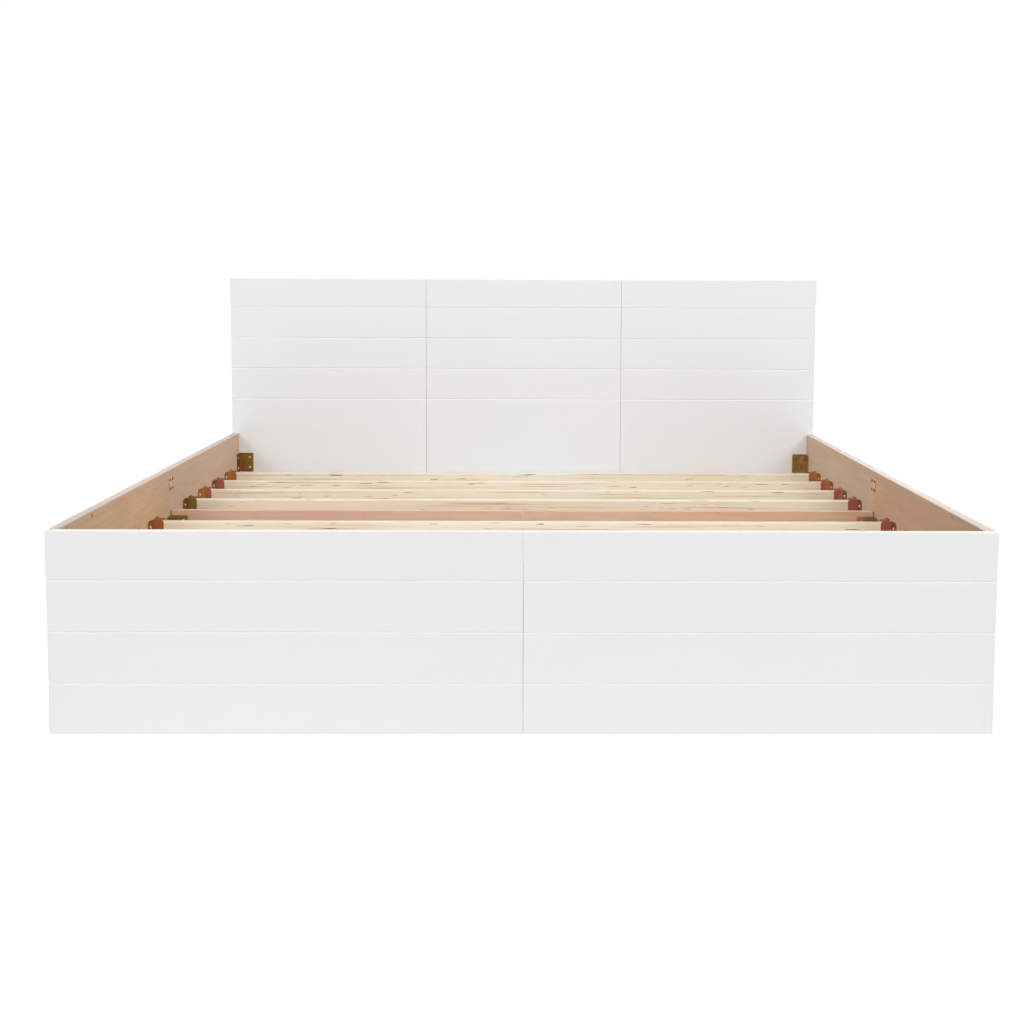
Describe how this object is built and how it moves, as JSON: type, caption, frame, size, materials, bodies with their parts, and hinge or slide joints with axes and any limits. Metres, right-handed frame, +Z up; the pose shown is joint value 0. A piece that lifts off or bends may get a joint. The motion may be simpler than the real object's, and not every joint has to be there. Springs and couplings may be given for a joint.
{
  "type": "bed frame with drawers",
  "caption": "White bed frame with a panelled headboard, a grooved foot end, pine slats in steel hangers between plywood rails, and handle-less drawers under its long sides.",
  "frame": {"origin": "middle of the footprint, on the floor", "axes": "+X to the right seen from the foot end, +Y from the foot end to the headboard, +Z up"},
  "size_m": [1.86, 2.074, 0.895],
  "materials": {
    "white_lacquer": "satin white lacquer on plywood",
    "raw_plywood": "sanded plywood, unpainted",
    "pine_slat": "planed pine laminated veneer, unpainted",
    "drawer_plywood": "sanded birch plywood",
    "yellow_zinc_steel": "yellow passivated zinc plate",
    "bright_zinc_steel": "bright zinc plate"
  },
  "bodies": {
    "frame": {"headboard_panel_left": "white_lacquer", "headboard_panel_centre": "white_lacquer", "headboard_panel_right": "white_lacquer", "foot_panel_left": "white_lacquer", "foot_panel_right": "white_lacquer", "side_rail_left_foot": "white_lacquer", "side_rail_left_head": "white_lacquer", "side_rail_right_foot": "white_lacquer", "side_rail_right_head": "white_lacquer", "headboard_batten_upper": "raw_plywood", "headboard_batten_lower": "raw_plywood", "foot_joint_cleat": "raw_plywood", "divider_left": "raw_plywood", "divider_right": "raw_plywood", "divider_joint_cleat": "raw_plywood", "slat_1": "pine_slat", "slat_2": "pine_slat", "slat_3": "pine_slat", "slat_4": "pine_slat", "slat_5": "pine_slat", "slat_6": "pine_slat", "slat_7": "pine_slat", "slat_8": "pine_slat", "slat_hangers_left": "yellow_zinc_steel", "slat_hangers_right": "yellow_zinc_steel", "angle_brackets": "yellow_zinc_steel", "rail_joint_plates": "yellow_zinc_steel", "hanger_screws": "yellow_zinc_steel", "bracket_screws": "yellow_zinc_steel", "joint_plate_screws": "yellow_zinc_steel", "slide_fixed_channels": "bright_zinc_steel"},
    "drawer_left_foot": {"drawer_left_foot_front": "white_lacquer", "drawer_left_foot_side_1": "drawer_plywood", "drawer_left_foot_side_2": "drawer_plywood", "drawer_left_foot_back": "drawer_plywood", "drawer_left_foot_bottom": "drawer_plywood", "drawer_left_foot_slide_inner": "bright_zinc_steel"},
    "drawer_left_foot_slide": {"drawer_left_foot_slide_middle": "bright_zinc_steel"},
    "drawer_left_head": {"drawer_left_head_front": "white_lacquer", "drawer_left_head_side_1": "drawer_plywood", "drawer_left_head_side_2": "drawer_plywood", "drawer_left_head_back": "drawer_plywood", "drawer_left_head_bottom": "drawer_plywood", "drawer_left_head_slide_inner": "bright_zinc_steel"},
    "drawer_left_head_slide": {"drawer_left_head_slide_middle": "bright_zinc_steel"},
    "drawer_right_foot": {"drawer_right_foot_front": "white_lacquer", "drawer_right_foot_side_1": "drawer_plywood", "drawer_right_foot_side_2": "drawer_plywood", "drawer_right_foot_back": "drawer_plywood", "drawer_right_foot_bottom": "drawer_plywood", "drawer_right_foot_slide_inner": "bright_zinc_steel"},
    "drawer_right_foot_slide": {"drawer_right_foot_slide_middle": "bright_zinc_steel"},
    "drawer_right_head": {"drawer_right_head_front": "white_lacquer", "drawer_right_head_side_1": "drawer_plywood", "drawer_right_head_side_2": "drawer_plywood", "drawer_right_head_back": "drawer_plywood", "drawer_right_head_bottom": "drawer_plywood", "drawer_right_head_slide_inner": "bright_zinc_steel"},
    "drawer_right_head_slide": {"drawer_right_head_slide_middle": "bright_zinc_steel"}
  },
  "joints": [
    {"name": "drawer_left_foot_pull", "type": "slide", "parent": "frame", "child": "drawer_left_foot", "axis": [-1, 0, 0], "range_m": [0, 0.55]},
    {"name": "drawer_left_foot_slide_run", "type": "slide", "parent": "frame", "child": "drawer_left_foot_slide", "axis": [-1, 0, 0], "range_m": [0, 0.275]},
    {"name": "drawer_left_head_pull", "type": "slide", "parent": "frame", "child": "drawer_left_head", "axis": [-1, 0, 0], "range_m": [0, 0.55]},
    {"name": "drawer_left_head_slide_run", "type": "slide", "parent": "frame", "child": "drawer_left_head_slide", "axis": [-1, 0, 0], "range_m": [0, 0.275]},
    {"name": "drawer_right_foot_pull", "type": "slide", "parent": "frame", "child": "drawer_right_foot", "axis": [1, 0, 0], "range_m": [0, 0.55]},
    {"name": "drawer_right_foot_slide_run", "type": "slide", "parent": "frame", "child": "drawer_right_foot_slide", "axis": [1, 0, 0], "range_m": [0, 0.275]},
    {"name": "drawer_right_head_pull", "type": "slide", "parent": "frame", "child": "drawer_right_head", "axis": [1, 0, 0], "range_m": [0, 0.55]},
    {"name": "drawer_right_head_slide_run", "type": "slide", "parent": "frame", "child": "drawer_right_head_slide", "axis": [1, 0, 0], "range_m": [0, 0.275]}
  ],
  "couplings": [
    {"joint": "drawer_left_foot_slide_run", "follows": "drawer_left_foot_pull", "ratio": 0.5},
    {"joint": "drawer_left_head_slide_run", "follows": "drawer_left_head_pull", "ratio": 0.5},
    {"joint": "drawer_right_foot_slide_run", "follows": "drawer_right_foot_pull", "ratio": 0.5},
    {"joint": "drawer_right_head_slide_run", "follows": "drawer_right_head_pull", "ratio": 0.5}
  ]
}
